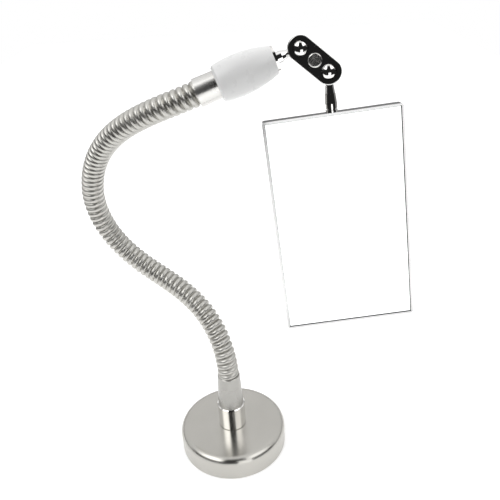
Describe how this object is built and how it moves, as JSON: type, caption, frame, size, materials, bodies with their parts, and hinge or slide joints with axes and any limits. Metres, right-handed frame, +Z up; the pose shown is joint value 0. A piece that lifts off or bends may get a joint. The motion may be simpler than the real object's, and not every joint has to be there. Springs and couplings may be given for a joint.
{
  "type": "gooseneck inspection mirror",
  "caption": "Rectangular inspection mirror on a double-ball clamp at the end of a bendable metal gooseneck with a round magnetic foot.",
  "frame": {"origin": "centre of the flat underside of the round magnetic foot", "axes": "+Z up along the post; the mirror faces -Y; the gooseneck loops out to -X and +Y and the mirror hangs over +X"},
  "size_m": [0.1423, 0.0655, 0.1898],
  "materials": {
    "base_steel": "spun flat top, polished rounded edge, brushed side",
    "magnet": "ground ferrite",
    "potting": "cast epoxy",
    "hardware": "zinc plated",
    "polished_chrome": "mirror polished",
    "satin_steel": "brushed along the sleeve",
    "satin_chrome": "satin",
    "gooseneck_steel": "bright plated windings",
    "white_plastic": "moulded, soft gloss",
    "frame_chrome": "polished folded sheet",
    "mirror_glass": "silvered, ground bevel",
    "foam_pad": "closed-cell foam"
  },
  "bodies": {
    "root": {"base_cup": "base_steel", "disc_magnet": "magnet", "magnet_potting": "potting", "post_stud": "hardware", "post_ring": "polished_chrome", "collar": "satin_steel", "hose_link_01": "gooseneck_steel"},
    "hose_02": {"hose_link_02": "gooseneck_steel"},
    "hose_03": {"hose_link_03": "gooseneck_steel"},
    "hose_04": {"hose_link_04": "gooseneck_steel"},
    "hose_05": {"hose_link_05": "gooseneck_steel"},
    "hose_06": {"hose_link_06": "gooseneck_steel"},
    "hose_07": {"hose_link_07": "gooseneck_steel"},
    "hose_08": {"hose_link_08": "gooseneck_steel"},
    "hose_09": {"hose_link_09": "gooseneck_steel"},
    "hose_10": {"hose_link_10": "gooseneck_steel"},
    "hose_11": {"hose_link_11": "gooseneck_steel"},
    "hose_12": {"hose_link_12": "gooseneck_steel"},
    "hose_13": {"hose_link_13": "gooseneck_steel"},
    "hose_14": {"hose_link_14": "gooseneck_steel"},
    "grip": {"hose_link_15": "gooseneck_steel", "ferrule": "satin_chrome", "barrel": "white_plastic", "barrel_nose_ring": "white_plastic"},
    "stud_1": {"ball_stud_1": "polished_chrome", "thrust_washer": "hardware", "shank_nut": "hardware"},
    "clamp": {"plate_front": "polished_chrome", "plate_back": "polished_chrome", "clamp_screw": "polished_chrome", "spring_washer": "hardware", "clamp_nut": "hardware"},
    "stud_2": {"ball_stud_2": "polished_chrome"},
    "mirror": {"mirror_frame": "frame_chrome", "mirror_pad": "foam_pad", "mirror_glass": "mirror_glass", "stem_socket": "polished_chrome"}
  },
  "joints": [
    {"name": "hose_flex_01", "type": "hinge", "parent": "root", "child": "hose_02", "pos_m": [-0.00152, 0.00262, 0.05422], "axis": [-0.6614, -0.7338, 0.1553], "range_deg": [-10, 10]},
    {"name": "hose_flex_02", "type": "hinge", "parent": "hose_02", "child": "hose_03", "pos_m": [-0.00612, 0.00898, 0.06462], "axis": [-0.7769, 0.1027, -0.6212], "range_deg": [-10, 10]},
    {"name": "hose_flex_03", "type": "hinge", "parent": "hose_03", "child": "hose_04", "pos_m": [-0.01358, 0.01648, 0.07227], "axis": [-0.1844, -0.7493, 0.636], "range_deg": [-10, 10]},
    {"name": "hose_flex_04", "type": "hinge", "parent": "hose_04", "child": "hose_05", "pos_m": [-0.02307, 0.02355, 0.07786], "axis": [-0.2359, -0.7838, 0.5745], "range_deg": [-10, 10]},
    {"name": "hose_flex_05", "type": "hinge", "parent": "hose_05", "child": "hose_06", "pos_m": [-0.03348, 0.02934, 0.08327], "axis": [0.5386, 0.785, 0.306], "range_deg": [-10, 10]},
    {"name": "hose_flex_06", "type": "hinge", "parent": "hose_06", "child": "hose_07", "pos_m": [-0.04348, 0.03331, 0.09066], "axis": [0.5414, -0.4316, 0.7215], "range_deg": [-10, 10]},
    {"name": "hose_flex_07", "type": "hinge", "parent": "hose_07", "child": "hose_08", "pos_m": [-0.05128, 0.03519, 0.10093], "axis": [0.4515, 0.8732, 0.1835], "range_deg": [-10, 10]},
    {"name": "hose_flex_08", "type": "hinge", "parent": "hose_08", "child": "hose_09", "pos_m": [-0.05528, 0.03466, 0.1133], "axis": [0.9181, -0.3898, 0.071], "range_deg": [-10, 10]},
    {"name": "hose_flex_09", "type": "hinge", "parent": "hose_09", "child": "hose_10", "pos_m": [-0.05492, 0.03202, 0.12606], "axis": [0.525, 0.8413, 0.1286], "range_deg": [-10, 10]},
    {"name": "hose_flex_10", "type": "hinge", "parent": "hose_10", "child": "hose_11", "pos_m": [-0.05098, 0.02777, 0.13776], "axis": [0.7461, -0.3822, -0.5452], "range_deg": [-10, 10]},
    {"name": "hose_flex_11", "type": "hinge", "parent": "hose_11", "child": "hose_12", "pos_m": [-0.04455, 0.02224, 0.14771], "axis": [0.4068, 0.8783, 0.2512], "range_deg": [-10, 10]},
    {"name": "hose_flex_12", "type": "hinge", "parent": "hose_12", "child": "hose_13", "pos_m": [-0.03628, 0.0161, 0.15577], "axis": [0.7187, 0.3993, -0.5693], "range_deg": [-10, 10]},
    {"name": "hose_flex_13", "type": "hinge", "parent": "hose_13", "child": "hose_14", "pos_m": [-0.02642, 0.01036, 0.16217], "axis": [-0.1986, 0.5091, 0.8375], "range_deg": [-10, 10]},
    {"name": "hose_flex_14", "type": "hinge", "parent": "hose_14", "child": "grip", "pos_m": [-0.01507, 0.00639, 0.16728], "axis": [0.2276, 0.9732, -0.0331], "range_deg": [-10, 10]},
    {"name": "clamp_spin", "type": "hinge", "parent": "grip", "child": "stud_1", "pos_m": [0.03632, 0.01106, 0.18453], "axis": [0.9419, 0.1249, 0.3118], "continuous": true},
    {"name": "clamp_swivel", "type": "hinge", "parent": "stud_1", "child": "clamp", "pos_m": [0.03632, 0.01106, 0.18453], "axis": [-0.0515, -0.9835, 0.1736], "range_deg": [-20, 150]},
    {"name": "mirror_swivel", "type": "hinge", "parent": "clamp", "child": "stud_2", "pos_m": [0.04649, 0.00903, 0.17605], "axis": [0.0515, 0.9835, -0.1736], "range_deg": [-130, 15]},
    {"name": "mirror_spin", "type": "hinge", "parent": "stud_2", "child": "mirror", "pos_m": [0.04649, 0.00903, 0.17605], "axis": [0.0811, -0.1387, -0.987], "continuous": true}
  ]
}
